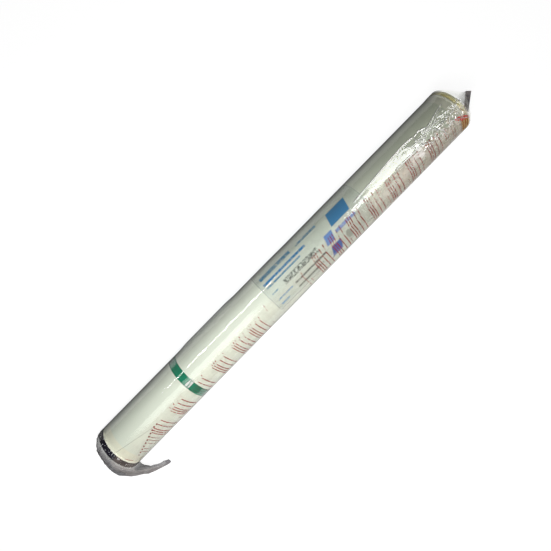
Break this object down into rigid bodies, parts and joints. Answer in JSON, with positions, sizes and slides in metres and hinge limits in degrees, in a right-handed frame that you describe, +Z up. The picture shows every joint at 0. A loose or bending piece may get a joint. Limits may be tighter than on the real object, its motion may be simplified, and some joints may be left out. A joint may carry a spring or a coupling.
{
  "type": "reverse osmosis membrane element",
  "caption": "Long spiral-wound membrane element with a green band and a clear label, sealed in a crumpled clear film bag.",
  "frame": {"origin": "on the floor below the middle of the element, at the centre of the bag's flat underside", "axes": "+X along the element from the end with the brine seal to the other end, +Z up, +Y to the side that the bag's wide corner turns away from"},
  "size_m": [1.0774, 0.1525, 0.1006],
  "materials": {
    "film": "gloss",
    "shell": "gloss",
    "cap": "satin",
    "seal": "satin",
    "band": "gloss",
    "label": "gloss",
    "tube": "matt",
    "leaf": "matt",
    "spacer": "matt"
  },
  "bodies": {
    "root": {"permeate_tube": "tube", "core_wrap": "spacer", "membrane_leaf_1": "leaf", "feed_spacer_1": "spacer", "membrane_leaf_2": "leaf", "feed_spacer_2": "spacer", "membrane_leaf_3": "leaf", "feed_spacer_3": "spacer", "membrane_leaf_4": "leaf", "feed_spacer_4": "spacer", "shell_wrap": "shell", "seal_end_cap": "cap", "far_end_cap": "cap", "brine_seal": "seal", "colour_band": "band", "label": "label", "film_bag": "film"}
  },
  "joints": []
}
